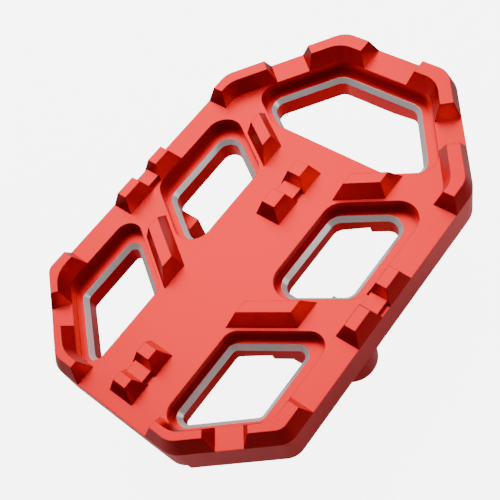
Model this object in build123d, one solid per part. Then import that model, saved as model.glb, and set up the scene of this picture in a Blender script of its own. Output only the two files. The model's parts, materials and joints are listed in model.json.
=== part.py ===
from build123d import *
import os
from math import atan, atan2, degrees, radians, sqrt, tan

# Clamp-on flat pedal for a foot peg. Millimetres, +Z up, tread on top.
# X runs along the plate towards its open end, Y across it.
# The origin lies on the seat face, under the middle of the clamp bridge.

# Plate
near_reach = 43.5        # origin to the closed end of the plate
far_reach = 66.5         # origin to the open end
half_width = 36.0
plate_depth = 9.0        # underside rim to tread flats
near_cut_x = 15.5        # corner cuts of the eight-sided outline, along X
far_cut_x = 26.5
near_end_half = 17.4     # half lengths of the two end edges
far_end_half = 15.6
near_end_round = 6.0     # rounding of the outline's corners
near_side_round = 4.5
far_round = 7.0
under_bevel = 0.5        # broken lower edges of the outline and the windows

# Rim widths, from the outline to the sunk ledge around the windows
near_end_rim = 5.0
near_slant_rim = 5.0
side_rim = 5.8
far_slant_rim = 6.3
far_end_rim = 6.9

# Windows
ledge_drop = 3.2         # tread flats down to the ledge around each window
window_across = 20.0     # side windows along Y, between the walls of their ledges
web_lean = 0.62          # X shift of a web for each millimetre of Y
near_web_x = -17.6       # where the two webs leave the centre line
far_web_x = 20.1
web_flat = 8.8           # web width along X, between ledges
window_start = 34.7      # spine edge of the open end window's ledge
side_ledge = 2.9         # ledge widths
near_slant_ledge = 1.6
near_end_ledge = 1.3
far_slant_ledge = 2.4
far_end_ledge = 2.0
web_ledge = 1.5
spine_ledge = 0.8
window_bevel = 1.1       # bright bevel at the top of each window
window_round = 3.9       # corner rounding of the lip
ledge_round = 4.8        # and of the ledge's wall
near_window_round = 2.5  # the same for the two windows at the closed end
near_ledge_round = 3.4

# Grip teeth
tooth_height = 4.0
tooth_draft = 0.4        # inward run for each millimetre of height
side_teeth = ((-4.5, 4.1), (6.8, 14.8))
near_corner_end = -20.3  # where the corner teeth stop on the long sides
far_corner_start = 32.8
near_end_gap = 20.4      # bare rim between corner teeth, by side
near_slant_gap = 5.9
far_slant_gap = 8.6
far_end_gap = 12.2
spine_teeth = ((-40.2, -34.7), (-32.7, -26.8), (11.2, 18.6), (20.9, 27.8))
spine_tooth_half = 3.3
web_tooth_width = 7.0    # along X, at the foot
near_web_tooth = (9.1, 22.4)
far_web_tooth = (10.0, 20.2)
link_height = 1.2        # low bar that joins two teeth of a pair
link_inset = 0.9

# Seat for the peg, tilted across the plate
seat_tilt = 7.0          # degrees
seat_near = 13.5         # proud edge
seat_far = -18.6         # sunk edge
seat_chamfer = 0.8
seat_end_rise = 0.8      # where the bevel at the closed end meets the wall
seat_end_angle = 35.0
seat_end_rim = 4.4       # rim left where the sunk half goes round the open end window
seat_end_round = 17.0

# Threaded boss
boss_x = 27.5
boss_radius = 5.2
boss_stand = 1.0         # top of the boss, below the rim plane
boss_groove = 2.3
boss_groove_depth = 2.6
boss_bore = 5.0          # tapping size for M6
boss_bore_depth = 6.5
boss_mouth = 0.6         # chamfer at the mouth of the bore

# Clamp bridge
post_radius = 6.5
post_margin = 2.0        # post to the long side of the plate
post_height = 13.0       # plate underside to the screw seat
bridge_width = 12.4      # along X
bridge_drop = 19.5       # plate underside to the outer face of the bridge
bridge_slope = 12.5      # along Y, screw axis to the end of that outer face
bridge_wall = 5.0
passage_gap = 0.4        # wall left between a post and the peg passage
passage_round = 7.0
edge_break = 0.4

# Screws, M6 countersunk with a hexagon socket
screw_size = 6.0
head_size = 12.0
head_land = 0.4          # short cylinder above the cone
head_stand = 1.2         # head above the post
screw_length = 20.0
socket_flats = 4.0
socket_depth = 2.4
post_clearance = 0.3     # radial, screw in post
thread_clearance = 0.05  # radial, screw in plate
seat_clearance = 0.05    # cone in countersink
pocket_clearance = 0.6   # radial, leg pocket around the head
leg_overlap = 1.0        # how far the legs run past the post's axis
tip_clearance = 0.6      # screw tip to the bottom of its hole
tip_chamfer = 0.6

ledge_z = plate_depth - ledge_drop
spine_half = half_width - side_rim - window_across
screw_y = half_width - post_margin - post_radius
passage_half = screw_y - post_radius - passage_gap
bridge_flat = screw_y - bridge_slope
cone_height = (head_size - screw_size) / 2
screw_top = -post_height - head_stand
screw_tip = screw_top + screw_length
tooth_taper = degrees(atan(tooth_draft))


def crossing(first, second):
    """Point where two lines meet, each a point with a direction."""
    (ax, ay), (ux, uy) = first
    (bx, by), (vx, vy) = second
    run = ((bx - ax) * vy - (by - ay) * vx) / (ux * vy - uy * vx)
    return ax + run * ux, ay + run * uy


def moved(line, inset):
    """The same line shifted to the left of its direction."""
    (px, py), (ux, uy) = line
    size = sqrt(ux * ux + uy * uy)
    return (px - uy / size * inset, py + ux / size * inset), (ux, uy)


def corners(sides, insets):
    lines = [moved(side, inset) for side, inset in zip(sides, insets)]
    return [crossing(lines[i - 1], lines[i]) for i in range(len(lines))]


def sheet(points, rounds, height):
    """Face through the points with rounded corners, at one height."""
    return Pos(0, 0, height) * make_face(FilletPolyline(*points, radius=rounds, close=True))


def prism(points, rounds, low, high):
    return extrude(sheet(points, rounds, low), high - low)


def block(x_span, y_span, z_span):
    size = [span[1] - span[0] for span in (x_span, y_span, z_span)]
    centre = [(span[0] + span[1]) / 2 for span in (x_span, y_span, z_span)]
    return Pos(*centre) * Box(*size)


def outline_sides():
    """The eight edges, anticlockwise from the lower corner of the closed end."""
    left, right, side = -near_reach, far_reach, half_width
    near_x, far_x = left + near_cut_x, right - far_cut_x
    stops = [(left, -near_end_half), (near_x, -side), (far_x, -side), (right, -far_end_half),
             (right, far_end_half), (far_x, side), (near_x, side), (left, near_end_half)]
    ends = stops[1:] + stops[:1]
    return [(start, (end[0] - start[0], end[1] - start[1])) for start, end in zip(stops, ends)]


edges = outline_sides()
edge_lengths = [sqrt(run[0] ** 2 + run[1] ** 2) for start, run in edges]
rim_widths = [near_slant_rim, side_rim, far_slant_rim, far_end_rim,
              far_slant_rim, side_rim, near_slant_rim, near_end_rim]
outline_rounds = [near_end_round, near_side_round, far_round, far_round,
                  far_round, far_round, near_side_round, near_end_round]


def web_side(web_x, offset, towards_rim):
    """Edge of a web on the +Y half, with the window to its left."""
    way = 1 if towards_rim else -1
    return (web_x + offset, 0), (web_lean * way, way)


def near_window():
    """Sides with the inset of the ledge's wall and the width of the ledge."""
    spine = ((0, spine_half), (1, 0))
    return [(spine, 0, spine_ledge),
            (web_side(near_web_x, -web_flat / 2, True), 0, web_ledge),
            (edges[5], side_rim, side_ledge),
            (edges[6], near_slant_rim, near_slant_ledge),
            (edges[7], near_end_rim, near_end_ledge)]


def middle_window():
    spine = ((0, spine_half), (1, 0))
    return [(spine, 0, spine_ledge),
            (web_side(far_web_x, -web_flat / 2, True), 0, web_ledge),
            (edges[5], side_rim, side_ledge),
            (web_side(near_web_x, web_flat / 2, False), 0, web_ledge)]


def end_window():
    web_start = (far_web_x + web_flat / 2, 0)
    return [(((window_start, 0), (0, -1)), 0, spine_ledge),
            ((web_start, (web_lean, -1)), 0, web_ledge),
            (edges[2], far_slant_rim, far_slant_ledge),
            (edges[3], far_end_rim, far_end_ledge),
            (edges[4], far_slant_rim, far_slant_ledge),
            ((web_start, (-web_lean, -1)), 0, web_ledge)]


def window_cut(window, lip_round=window_round, wall_round=ledge_round):
    """Sunk ledge, bevelled lip and straight hole of one window."""
    sides = [side for side, rim, ledge in window]
    wall = corners(sides, [rim for side, rim, ledge in window])
    lip = corners(sides, [rim + ledge for side, rim, ledge in window])
    hole = corners(sides, [rim + ledge + window_bevel for side, rim, ledge in window])
    lip_bottom = ledge_z - window_bevel
    sunk = prism(wall, wall_round, ledge_z, plate_depth)
    hole_round = lip_round - window_bevel
    lip_faces = [sheet(hole, hole_round, lip_bottom), sheet(lip, lip_round, ledge_z)]
    through = prism(hole, hole_round, 0, ledge_z)
    foot = corners(sides, [rim + ledge + window_bevel - under_bevel for side, rim, ledge in window])
    foot_round = hole_round + under_bevel
    foot_faces = [sheet(foot, foot_round, 0), sheet(hole, hole_round, under_bevel)]
    below = prism(foot, foot_round, -plate_depth, 0)
    return sunk + loft(lip_faces, ruled=True) + through + loft(foot_faces, ruled=True) + below


def all_windows():
    near = window_cut(near_window(), near_window_round, near_ledge_round)
    side_windows = near + window_cut(middle_window())
    return side_windows + mirror(side_windows, about=Plane.XZ) + window_cut(end_window())


def tooth(face, height=tooth_height):
    return extrude(face, height, taper=tooth_taper)


def gap_strip(index, width):
    """Bare stretch in the middle of one slanted or end edge."""
    (px, py), (ux, uy) = edges[index]
    angle = degrees(atan2(uy, ux))
    middle = Pos(px + ux / 2, py + uy / 2, plate_depth) * Rot(0, 0, angle)
    return middle * Rectangle(width, 3 * far_end_rim)


def rim_teeth():
    """Teeth of the rim: the band around the windows less its bare stretches."""
    outer = sheet(corners(edges, [0] * 8), outline_rounds, plate_depth)
    inner = sheet(corners(edges, rim_widths), ledge_round, plate_depth)
    band = outer - inner
    for index, width in ((0, near_slant_gap), (2, far_slant_gap), (3, far_end_gap),
                         (4, far_slant_gap), (6, near_slant_gap), (7, near_end_gap)):
        band -= gap_strip(index, width)
    (first, second), (third, fourth) = side_teeth
    for start, end in ((near_corner_end, first), (second, third), (fourth, far_corner_start)):
        middle = Pos((start + end) / 2, 0, plate_depth)
        band -= middle * Rectangle(end - start, 3 * half_width)
    return [tooth(face) for face in band.faces()]


def web_tooth(web_x, stretch):
    low, high = stretch
    half = web_tooth_width / 2
    base = [(web_x + web_lean * low - half, low), (web_x + web_lean * low + half, low),
            (web_x + web_lean * high + half, high), (web_x + web_lean * high - half, high)]
    return tooth(sheet(base, 0, plate_depth))


def web_teeth():
    upper = [web_tooth(near_web_x, near_web_tooth), web_tooth(far_web_x, far_web_tooth)]
    return upper + [mirror(one, about=Plane.XZ) for one in upper]


def spine_tooth(start, end):
    middle = Pos((start + end) / 2, 0, plate_depth)
    return tooth(middle * Rectangle(end - start, 2 * spine_tooth_half))


def links():
    """Low bars between the two teeth of each pair."""
    reach = link_height * tooth_draft
    height = (plate_depth, plate_depth + link_height)
    bars = []
    for first, second in ((spine_teeth[0], spine_teeth[1]), (spine_teeth[2], spine_teeth[3])):
        half = spine_tooth_half - link_inset
        bars.append(block((first[1] - reach, second[0] + reach), (-half, half), height))
    along = (side_teeth[0][1] - reach, side_teeth[1][0] + reach)
    across = (half_width - side_rim + link_inset, half_width - link_inset)
    bar = block(along, across, height)
    return bars + [bar, mirror(bar, about=Plane.XZ)]


def seat_rise(y):
    """Height of the tilted seat, below the rim where y is positive."""
    return -y * tan(radians(seat_tilt))


def across_profile(points, start, end):
    """Solid with one outline in Y and Z, from one X to another."""
    face = make_face(Polyline(*[(start, y, z) for y, z in points], close=True))
    return extrude(face, end - start, dir=(1, 0, 0))


def seat_pad():
    """Proud half of the seat, bevelled along its edge and at the closed end."""
    edge = seat_near - seat_chamfer
    profile = [(0, 0), (0, under_bevel), (seat_near, under_bevel),
               (seat_near, seat_rise(seat_near) + seat_chamfer), (edge, seat_rise(edge))]
    return across_profile(profile, -near_reach, window_start + spine_ledge)


def seat_end_cut():
    """Bevel that tapers away where the seat sinks below the rim."""
    run = near_reach / 3
    drop = run * tan(radians(seat_end_angle))
    points = [(-near_reach, 0, seat_end_rise), (-near_reach + run, 0, seat_end_rise - drop),
              (-near_reach - run, 0, seat_end_rise - drop), (-near_reach - run, 0, seat_end_rise)]
    face = Pos(0, seat_far, 0) * make_face(Polyline(*points, close=True))
    return extrude(face, seat_near - seat_far, dir=(0, 1, 0))


def seat_cut():
    """Sunk half of the seat, open at the closed end, with its wall square to the seat."""
    rise = seat_rise(seat_far)
    lean = (rise + plate_depth) * tan(radians(seat_tilt))
    profile = [(0, 0), (seat_far, rise), (seat_far - lean, -plate_depth), (0, -plate_depth)]
    wedge = across_profile(profile, -near_reach - 1, far_reach - seat_end_rim)
    end_corner = wedge.edges().sort_by(Axis.X)[-4:].sort_by(Axis.Y)[0]
    return fillet(end_corner, seat_end_round)


def boss_ring(radius, low, high):
    return Pos(boss_x, 0, (low + high) / 2) * Cylinder(radius, high - low)


def boss_cuts():
    """Groove around the threaded boss, and its blind hole with a chamfered mouth."""
    low = seat_rise(boss_radius + boss_groove) - 1
    groove = boss_ring(boss_radius + boss_groove, low, boss_groove_depth) \
        - boss_ring(boss_radius, low, boss_groove_depth)
    bore = boss_ring(boss_bore / 2, -2 * boss_stand, boss_bore_depth)
    wide = boss_bore / 2 + boss_mouth
    mouth = Pos(boss_x, 0, -boss_stand + boss_mouth / 2) * Cone(wide, boss_bore / 2, boss_mouth)
    return groove, bore + mouth


def screw_holes():
    depth = screw_tip + tip_clearance
    hole = Pos(0, screw_y, depth / 2) * Cylinder(screw_size / 2 + thread_clearance, depth)
    return hole + mirror(hole, about=Plane.XZ)


def tread_plate():
    body = prism(corners(edges, [0] * 8), outline_rounds, 0, plate_depth)
    body = chamfer(body.faces().sort_by(Axis.Z)[0].edges(), under_bevel)
    groove, bore = boss_cuts()
    body = body + seat_pad() - seat_end_cut() - seat_cut() - groove
    body = body + boss_ring(boss_radius, -boss_stand, boss_groove_depth)
    body = body - all_windows() - bore - screw_holes()
    teeth = rim_teeth() + web_teeth() + [spine_tooth(*span) for span in spine_teeth] + links()
    return body.fuse(*teeth)


def countersink():
    """Seat for a countersunk head, opened by its clearance."""
    wide = head_size / 2 + seat_clearance * sqrt(2)
    narrow = screw_size / 2 + post_clearance
    high = wide - narrow
    cone = Pos(0, 0, high / 2) * Cone(wide, narrow, high)
    return Pos(0, screw_y, screw_top + head_land) * cone


def bridge_side():
    """Post, hole and head pocket on the +Y side: what is added, then what is cut."""
    at_screw = Pos(0, screw_y, 0)
    post = at_screw * Pos(0, 0, -post_height / 2) * Cylinder(post_radius, post_height)
    hole = at_screw * Cylinder(screw_size / 2 + post_clearance, 3 * post_height)
    pocket_depth = bridge_drop - post_height + 1
    pocket = at_screw * Pos(0, 0, -post_height - pocket_depth / 2) \
        * Cylinder(head_size / 2 + pocket_clearance, pocket_depth)
    return post, hole + pocket + countersink()


def clamp_bridge():
    leg = screw_y + leg_overlap
    shape = [(-leg, 0), (-leg, -post_height), (-bridge_flat, -bridge_drop),
             (bridge_flat, -bridge_drop), (leg, -post_height), (leg, 0)]
    arch = across_profile(shape, -bridge_width / 2, bridge_width / 2)
    outer_edges = arch.faces().sort_by(Axis.Z)[0].edges().filter_by(Axis.Y)
    arch = chamfer(outer_edges, edge_break)
    ceiling = bridge_drop - bridge_wall
    passage = Box(2 * bridge_width, 2 * passage_half, 2 * ceiling)
    passage = fillet(passage.edges().filter_by(Axis.X), passage_round)
    post, cuts = bridge_side()
    body = arch - passage + post + mirror(post, about=Plane.XZ)
    return body - cuts - mirror(cuts, about=Plane.XZ)


def clamp_screw(side):
    """Countersunk screw with its head down, on the +Y (1) or -Y (-1) side."""
    radius = screw_size / 2
    head = head_size / 2
    bottom = screw_top + head_land
    tip = screw_tip - tip_chamfer
    outline = [(0, screw_top), (head, screw_top), (head, bottom), (radius, bottom + cone_height),
               (radius, tip), (radius - tip_chamfer, screw_tip), (0, screw_tip)]
    half_section = make_face(Polyline(*[(x, 0, z) for x, z in outline], close=True))
    body = revolve(half_section, axis=Axis.Z)
    socket = extrude(RegularPolygon(socket_flats / 2, 6, major_radius=False), socket_depth)
    return Pos(0, side * screw_y, 0) * (body - Pos(0, 0, screw_top) * socket)


parts = {
    "tread_plate": tread_plate(),
    "clamp_bridge": clamp_bridge(),
    "clamp_screw_left": clamp_screw(1),
    "clamp_screw_right": clamp_screw(-1),
}

os.makedirs("parts", exist_ok=True)
for name, solid in parts.items():
    export_step(solid, f"parts/{name}.step")
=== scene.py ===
import json
import math

import bpy
from mathutils import Matrix, Vector

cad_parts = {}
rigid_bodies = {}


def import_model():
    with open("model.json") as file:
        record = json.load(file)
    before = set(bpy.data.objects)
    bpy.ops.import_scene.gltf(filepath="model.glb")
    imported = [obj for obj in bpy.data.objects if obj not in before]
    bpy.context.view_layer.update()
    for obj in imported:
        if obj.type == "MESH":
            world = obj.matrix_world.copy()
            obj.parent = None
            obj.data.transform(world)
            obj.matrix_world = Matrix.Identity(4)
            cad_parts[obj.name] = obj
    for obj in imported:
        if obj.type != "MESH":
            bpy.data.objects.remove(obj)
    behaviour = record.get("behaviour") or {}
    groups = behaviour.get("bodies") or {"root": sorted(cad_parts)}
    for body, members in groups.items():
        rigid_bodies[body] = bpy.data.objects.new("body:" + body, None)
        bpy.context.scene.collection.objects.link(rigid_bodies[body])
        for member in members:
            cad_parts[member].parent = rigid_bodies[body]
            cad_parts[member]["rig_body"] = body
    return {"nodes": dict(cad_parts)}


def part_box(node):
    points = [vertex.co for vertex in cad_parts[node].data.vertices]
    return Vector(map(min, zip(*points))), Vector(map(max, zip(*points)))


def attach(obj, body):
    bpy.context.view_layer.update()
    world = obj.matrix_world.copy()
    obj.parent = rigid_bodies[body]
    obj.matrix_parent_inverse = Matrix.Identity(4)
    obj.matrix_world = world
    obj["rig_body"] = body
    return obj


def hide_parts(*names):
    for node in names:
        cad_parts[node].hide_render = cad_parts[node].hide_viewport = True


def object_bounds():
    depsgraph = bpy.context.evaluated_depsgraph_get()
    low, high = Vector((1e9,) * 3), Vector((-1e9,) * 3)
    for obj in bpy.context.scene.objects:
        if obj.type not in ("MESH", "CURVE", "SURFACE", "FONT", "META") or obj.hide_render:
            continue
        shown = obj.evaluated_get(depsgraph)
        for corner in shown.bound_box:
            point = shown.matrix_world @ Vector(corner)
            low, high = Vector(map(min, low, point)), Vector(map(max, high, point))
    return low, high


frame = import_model()
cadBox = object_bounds()
mm = 0.001
print("frame loaded:", ", ".join(sorted(frame["nodes"])))

# the camera's place and axes, measured from the seat under the bridge
mainView = {
    "place": (-0.0510, -0.0872, 0.1572),
    "right": (0.6049, -0.7646, -0.2227),
    "up": (0.7381, 0.4333, 0.5171),
    "lens": 57.5,
    "sensor": 36.0,
}

studio = {
    "glow": (1.0, 0.99, 0.985),
    "glowStrength": 0.14,  # what lights the object from all round
    "backdropStrength": 6.3,  # what the camera sees past the floor
    # name, direction of the light, distance, width, height, watts
    "panels": (
        ("skyPanel", (0.34, 0.475, 0.81), 0.62, 0.60, 0.60, 3.6),
        ("sidePanel", (0.7, -1.0, 0.5), 0.80, 0.40, 0.40, 0.9),
        ("lowPanel", (-0.45, 0.35, -0.82), 0.62, 0.50, 0.50, 2.2),  # through the floor
    ),
}

floorLook = {
    "halfSize": 2.0,
    "gap": 0.2 * mm,  # left under the bridge, so that the two don't share a plane
    "nearColor": (0.90, 0.895, 0.89),  # what the object mirrors close by
    "farPaintedShade": (0.20, 0.20, 0.20),  # and painted shade further out, which the object mirrors
    "nearReach": 0.065,
    "farReach": 0.115,
    "roughness": 0.6,
    "glow": 6.0,  # seen by the camera alone, so that the floor looks white
}

anodise = {
    "color": (0.76, 0.012, 0.018),
    "edgeHighlightColor": (0.88, 0.06, 0.07),  # painted highlight along the edges
    "deepColor": (0.66, 0.008, 0.013),  # thick dye in patches
    "roughness": 0.36,
    "roughnessSpread": 0.10,
    "coat": 0.12,
    "coatRoughness": 0.30,
    "grain": 0.22 * mm,  # one blasted dimple
    "grainDepth": 0.012 * mm,
    "grainShine": 0.06,  # how far one dimple changes the roughness
    "patch": 11 * mm,
    "edgeRadius": 0.25 * mm,
    # how strongly the painted highlight follows the edges
    "edgeHighlightGain": 5.0,
    "edgeHighlightFade": 0.55,
}

cutBevel = {
    "color": (0.96, 0.96, 0.965),
    "roughness": 0.20,
    "haze": 0.70,  # fine tool marks that scatter light
    "bottom": 4.66 * mm,  # heights that the cut lies between
    "top": 5.83 * mm,
    "leastLean": 0.35,  # upward part of its normal
    "mostLean": 0.93,
}

screwLook = {
    "color": (0.90, 0.885, 0.85),
    # painted shade inside the hex socket
    "socketShadeColor": (0.10, 0.095, 0.09),
    "roughness": 0.26,
    "smear": 2.5 * mm,  # handling marks
    "smearSpread": 0.16,
    "smearMiddle": 0.4,
    "socketDull": 0.3,
    "socketReach": 0.56,  # radius of the painted shade in the middle, for each millimetre across flats
    "socketLip": 0.12 * mm,  # depth at which the painted shade begins
    "ringPitch": 0.22 * mm,  # turning marks on the head
    "ringDepth": 0.002 * mm,
    "edgeRadius": 0.12 * mm,
}

screwShape = {
    "shankRadius": 3.0 * mm,
    "headLand": 0.4 * mm,
    "headChamfer": 0.25 * mm,
    "socketFlats": 4.0 * mm,
    "socketDepth": 2.4 * mm,
    "socketChamfer": 0.18 * mm,
    "plainNeck": 2.2 * mm,  # below the head, before the thread
    "threadPitch": 1.0 * mm,
    "threadDepth": 0.54 * mm,
    "crestPlay": 0.02 * mm,
    "crestFlat": 0.14,  # of half a pitch
    "flankRun": 0.72,
    "pinhole": 0.02 * mm,  # closes the ends
    "socketFloorStep": 0.5 * mm,
    "socketFloorDip": 0.35 * mm,
    "faceRing": 0.7,
    "edgeStep": 0.3,
    "sharpAngle": 32,
    "tipChamfer": 0.6 * mm,
    "around": 48,
    "ringsPerTurn": 12,
}


class Wire:  # one output socket, ready for sums
    def __init__(self, finish, node, socket=0):
        self.finish = finish
        self.node = node
        self.socket = node.outputs[socket] if len(node.outputs) else None

    def out(self, name):
        return Wire(self.finish, self.node, name)

    def reckon(self, operation, *others):
        values = dict(enumerate((self, *others)))
        return self.finish.add("ShaderNodeMath", {"operation": operation}, values)

    def __add__(self, other):
        return self.reckon("ADD", other)

    def __sub__(self, other):
        return self.reckon("SUBTRACT", other)

    def __rsub__(self, other):
        return self.reckon("MULTIPLY", -1.0).reckon("ADD", other)

    def __mul__(self, other):
        return self.reckon("MULTIPLY", other)

    def __gt__(self, other):
        return self.reckon("GREATER_THAN", other)

    def __lt__(self, other):
        return self.reckon("LESS_THAN", other)

    __radd__ = __add__
    __rmul__ = __mul__


class Finish:
    def __init__(self, name):
        self.material = bpy.data.materials.new(name)
        self.material.use_nodes = True
        self.tree = self.material.node_tree
        self.tree.nodes.clear()

    def add(self, kind, settings=None, sockets=None, out=0):
        node = self.tree.nodes.new(kind)
        for key, value in (settings or {}).items():
            setattr(node, key, value)
        for key, value in (sockets or {}).items():
            if isinstance(value, Wire):
                self.tree.links.new(value.socket, node.inputs[key])
            else:
                node.inputs[key].default_value = value
        return Wire(self, node, out)

    def mix(self, factor, low, high):
        # colours go in as four numbers
        low, high = (v if isinstance(v, Wire) else (*v, 1.0) for v in (low, high))
        return self.add("ShaderNodeMix", {"data_type": "RGBA"}, {0: factor, 6: low, 7: high}, 2)

    def spots(self, place, size):
        sockets = {"Vector": place, "Scale": 1 / size, "Detail": 3.0}
        return self.add("ShaderNodeTexNoise", None, sockets)

    def bump(self, height, depth, normal):
        sockets = {"Height": height, "Distance": depth, "Strength": 1.0, "Normal": normal}
        return self.add("ShaderNodeBump", None, sockets)

    def finishWith(self, shader):
        self.add("ShaderNodeOutputMaterial", None, {"Surface": shader})
        return self.material


def redAnodise():
    look, cut = anodise, cutBevel
    f = Finish("redAnodise")
    place = f.add("ShaderNodeTexCoord", out="Object")
    height = f.add("ShaderNodeSeparateXYZ", None, {0: place}, "Z")
    face = f.add("ShaderNodeNewGeometry", out="True Normal")
    lean = f.add("ShaderNodeSeparateXYZ", None, {0: face}, "Z")
    inBand = (height > cut["bottom"]) * (height < cut["top"])
    bare = inBand * (lean > cut["leastLean"]) * (lean < cut["mostLean"])

    rounded = f.add("ShaderNodeBevel", {"samples": 4}, {"Radius": look["edgeRadius"]})
    alike = {0: rounded, 1: face}
    # edge mask for the painted highlight along the edges
    facing = f.add("ShaderNodeVectorMath", {"operation": "DOT_PRODUCT"}, alike, "Value")
    edge = f.add("ShaderNodeClamp", None, {"Value": (1 - facing) * look["edgeHighlightGain"]})

    grain = f.spots(place, look["grain"])
    patch = f.spots(place, look["patch"])
    dyeAndHighlight = f.mix(patch, look["deepColor"], look["color"])
    # painted highlight: a lighter red along the edges, mixed over the dye patches
    dyeAndHighlight = f.mix(edge * look["edgeHighlightFade"], dyeAndHighlight, look["edgeHighlightColor"])
    color = f.mix(bare, dyeAndHighlight, cut["color"])
    dull = look["roughness"] + (patch - 0.5) * look["roughnessSpread"]
    dull = dull + (grain - 0.5) * look["grainShine"]
    roughness = dull * (1 - bare) + bare * cut["roughness"]
    normal = f.bump(grain * (1 - bare), look["grainDepth"], rounded)
    shader = f.add("ShaderNodeBsdfPrincipled", None, {
        "Base Color": color, "Metallic": 1 - bare * cut["haze"], "Roughness": roughness,
        "Normal": normal, "Coat Weight": (1 - bare) * look["coat"],
        "Coat Roughness": look["coatRoughness"],
    })
    return f.finishWith(shader)


def polishedSteel(axisY, headFace):
    look = screwLook
    f = Finish("polishedSteel")
    place = f.add("ShaderNodeTexCoord", out="Object")
    axes = f.add("ShaderNodeSeparateXYZ", None, {0: place})
    x, height = axes.out("X"), axes.out("Z")
    y = axes.out("Y").reckon("ABSOLUTE") - axisY  # both screws share one finish
    radius = (x * x + y * y).reckon("SQRT")
    middle = radius < screwShape["socketFlats"] * look["socketReach"]
    # painted shade: the inside of the hex socket is coloured dark
    socket = middle * (height > headFace + look["socketLip"])
    marks = (radius * (2 * math.pi / look["ringPitch"])).reckon("SINE")
    smear = f.spots(place, look["smear"])
    roughness = look["roughness"] + (smear - look["smearMiddle"]) * look["smearSpread"]
    rounded = f.add("ShaderNodeBevel", {"samples": 4}, {"Radius": look["edgeRadius"]})
    shader = f.add("ShaderNodeBsdfPrincipled", None, {
        "Base Color": f.mix(socket, look["color"], look["socketShadeColor"]), "Metallic": 1.0,
        "Roughness": roughness + socket * look["socketDull"],
        "Normal": f.bump(marks, look["ringDepth"], rounded),
    })
    return f.finishWith(shader)


def hexReach(angle, flats):  # from the middle of a hexagon to its edge
    turn = math.radians(60)
    return flats / 2 / math.cos((angle + turn / 2) % turn - turn / 2)


def threadRadius(z, angle, start, end):
    s = screwShape
    phase = ((z - start) / s["threadPitch"] - angle / (2 * math.pi)) % 1
    flank = min(1, max(0, (abs(phase - 0.5) * 2 - s["crestFlat"]) / s["flankRun"]))
    fadeIn = min(1, max(0, (z - start) / s["threadPitch"]))
    fadeOut = min(1, max(0, (end - z) / (0.5 * s["threadPitch"])))
    fade = fadeIn * fadeOut
    return s["shankRadius"] - s["crestPlay"] - s["threadDepth"] * (1 - flank) * fade


# every ring of a screw, from the bottom of its socket to its tip:
# a height, and a reach for each angle
def screwRings(headFace, tip, headRadius):
    s = screwShape
    flats, chamfer, edge = s["socketFlats"], s["socketChamfer"], s["headChamfer"]
    shank = s["shankRadius"]
    landEnd = headFace + s["headLand"]
    coneEnd = landEnd + headRadius - shank
    hexagon = lambda grow: lambda angle: hexReach(angle, flats + grow)
    circle = lambda radius: lambda angle: radius
    rings = [
        (headFace + s["socketDepth"] + s["socketFloorDip"], circle(s["pinhole"])),
        (headFace + s["socketDepth"], hexagon(-s["socketFloorStep"])),
        (headFace + s["socketDepth"], hexagon(0)),
        (headFace + chamfer, hexagon(0)),
        (headFace, circle(hexReach(math.radians(30), flats) + chamfer / 2)),
        (headFace, circle(headRadius * s["faceRing"])),
        (headFace, circle(headRadius - edge)),
        (headFace + edge * s["edgeStep"], circle(headRadius - edge * s["edgeStep"])),
        (headFace + edge, circle(headRadius)),
        (landEnd, circle(headRadius)),
        (coneEnd, circle(shank)),
    ]
    start, end = coneEnd + s["plainNeck"], tip - s["tipChamfer"]
    rings.append((start, circle(shank - s["crestPlay"])))
    turns = (end - start) / s["threadPitch"]
    count = int(turns * s["ringsPerTurn"])
    for i in range(1, count):
        z = start + (end - start) * i / count
        rings.append((z, lambda angle, z=z: threadRadius(z, angle, start, end)))
    rings.append((end, circle(shank - s["crestPlay"])))
    rings.append((tip, circle(shank - s["tipChamfer"] - s["crestPlay"])))
    rings.append((tip, circle(s["pinhole"])))
    return rings


# a countersunk screw with its socket and its real thread, in place of the plain one
def buildScrew(name, node, material):
    low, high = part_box(node)
    middle = (low + high) / 2
    around = screwShape["around"]
    rings = screwRings(low.z, high.z, (high.x - low.x) / 2)
    points = []
    for z, reach in rings:
        for i in range(around):
            angle = 2 * math.pi * i / around
            r = reach(angle)
            points.append((middle.x + r * math.cos(angle), middle.y + r * math.sin(angle), z))
    faces = []
    for ring in range(len(rings) - 1):
        for i in range(around):
            a, b = ring * around + i, ring * around + (i + 1) % around
            faces.append((a, a + around, b + around, b))
    faces.append(tuple(range(around)))
    faces.append(tuple(reversed(range((len(rings) - 1) * around, len(rings) * around))))
    mesh = bpy.data.meshes.new(name)
    mesh.from_pydata(points, [], faces)
    mesh.shade_smooth()
    mesh.set_sharp_from_angle(angle=math.radians(screwShape["sharpAngle"]))
    mesh.materials.append(material)
    screw = bpy.data.objects.new(name, mesh)
    bpy.context.scene.collection.objects.link(screw)
    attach(screw, frame["nodes"][node]["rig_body"])
    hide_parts(node)
    return screw


def dressNodes():
    red = redAnodise()
    for node in ("tread_plate", "clamp_bridge"):
        piece = frame["nodes"][node]
        for slot in piece.material_slots:
            slot.material = red
    low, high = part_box("clamp_screw_left")
    steel = polishedSteel((low.y + high.y) / 2, low.z)
    for side in ("left", "right"):
        buildScrew(f"{side}_screw", f"clamp_screw_{side}", steel)
    print("finishes and screws made")


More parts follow.
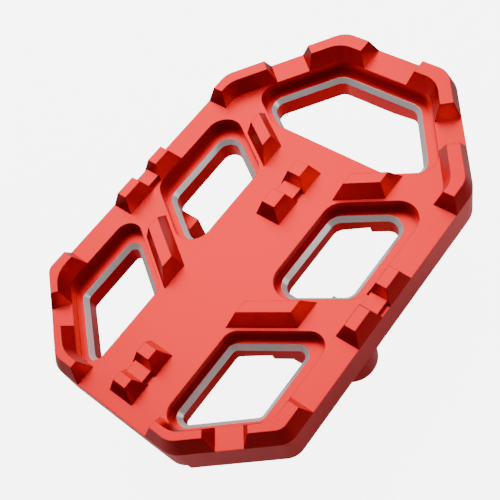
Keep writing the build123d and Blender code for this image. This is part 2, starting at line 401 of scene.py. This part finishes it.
def layFloor():  # pale to the camera, with painted shade further out in what the object mirrors, under the bridge, and clear from below
    f = Finish("paleFloor")
    place = f.add("ShaderNodeTexCoord", out="Object")
    reach = f.add("ShaderNodeVectorMath", {"operation": "LENGTH"}, {0: place}, "Value")
    span = floorLook["farReach"] - floorLook["nearReach"]
    # painted shade: the floor darkens further out, in the object's reflections and bounce light,
    # not for camera rays
    away = f.add("ShaderNodeClamp", None, {"Value": (reach - floorLook["nearReach"]) * (1 / span)})
    pale = f.add("ShaderNodeBsdfPrincipled", None, {
        "Base Color": f.mix(away, floorLook["nearColor"], floorLook["farPaintedShade"]),
        "Roughness": floorLook["roughness"],
    })
    plain = f.add("ShaderNodeBsdfDiffuse", None, {"Color": (*floorLook["nearColor"], 1.0)})
    glow = f.add("ShaderNodeEmission", None, {"Color": (1, 1, 1, 1), "Strength": floorLook["glow"]})
    bright = f.add("ShaderNodeAddShader", None, {0: plain, 1: glow})
    seen = f.add("ShaderNodeLightPath", out="Is Camera Ray")
    floorSkin = f.add("ShaderNodeMixShader", None, {0: seen, 1: pale, 2: bright})
    clear = f.add("ShaderNodeBsdfTransparent")
    below = f.add("ShaderNodeNewGeometry", out="Backfacing")
    lit = f.add("ShaderNodeLightPath", out="Is Shadow Ray")  # lets the low panel through
    passing = below.reckon("MAXIMUM", lit)
    shader = f.add("ShaderNodeMixShader", None, {0: passing, 1: floorSkin, 2: clear})
    half = floorLook["halfSize"]
    mesh = bpy.data.meshes.new("floor")
    mesh.from_pydata([(-half, -half, 0), (half, -half, 0), (half, half, 0), (-half, half, 0)],
                     [], [(0, 1, 2, 3)])
    mesh.materials.append(f.finishWith(shader))
    floor = bpy.data.objects.new("floor", mesh)
    floor.location = ((cadBox[0].x + cadBox[1].x) / 2, 0, cadBox[0].z - floorLook["gap"])
    bpy.context.scene.collection.objects.link(floor)


def lightStudio():
    world = bpy.data.worlds.new("studio")
    world.use_nodes = True
    nodes, links = world.node_tree.nodes, world.node_tree.links
    nodes.clear()
    glow, backdrop = nodes.new("ShaderNodeBackground"), nodes.new("ShaderNodeBackground")
    for node, strength in ((glow, studio["glowStrength"]), (backdrop, studio["backdropStrength"])):
        node.inputs[0].default_value = (*studio["glow"], 1.0)
        node.inputs[1].default_value = strength
    path, choice, output = (nodes.new(kind) for kind in
                            ("ShaderNodeLightPath", "ShaderNodeMixShader", "ShaderNodeOutputWorld"))
    links.new(path.outputs["Is Camera Ray"], choice.inputs[0])
    links.new(glow.outputs[0], choice.inputs[1])
    links.new(backdrop.outputs[0], choice.inputs[2])
    links.new(choice.outputs[0], output.inputs[0])
    bpy.context.scene.world = world
    centre = (cadBox[0] + cadBox[1]) / 2
    for name, way, distance, width, height, watts in studio["panels"]:
        data = bpy.data.lights.new(name, "AREA")
        data.shape, data.size, data.size_y, data.energy = "RECTANGLE", width, height, watts
        panel = bpy.data.objects.new(name, data)
        way = Vector(way).normalized()
        panel.location = centre + way * distance
        panel.rotation_mode = "QUATERNION"
        panel.rotation_quaternion = (-way).to_track_quat("-Z", "Y")
        bpy.context.scene.collection.objects.link(panel)
    print("studio lit")


def placeCamera():
    data = bpy.data.cameras.new("mainCamera")
    data.lens, data.sensor_width = mainView["lens"], mainView["sensor"]
    data.clip_start = 0.01
    camera = bpy.data.objects.new("mainCamera", data)
    right, up = Vector(mainView["right"]).normalized(), Vector(mainView["up"]).normalized()
    back = right.cross(up).normalized()
    up = back.cross(right)
    turn = Matrix((right, up, back)).transposed().to_4x4()
    camera.matrix_world = Matrix.Translation(mainView["place"]) @ turn
    bpy.context.scene.collection.objects.link(camera)
    bpy.context.scene.camera = camera


placeCamera()
dressNodes()
layFloor()
lightStudio()
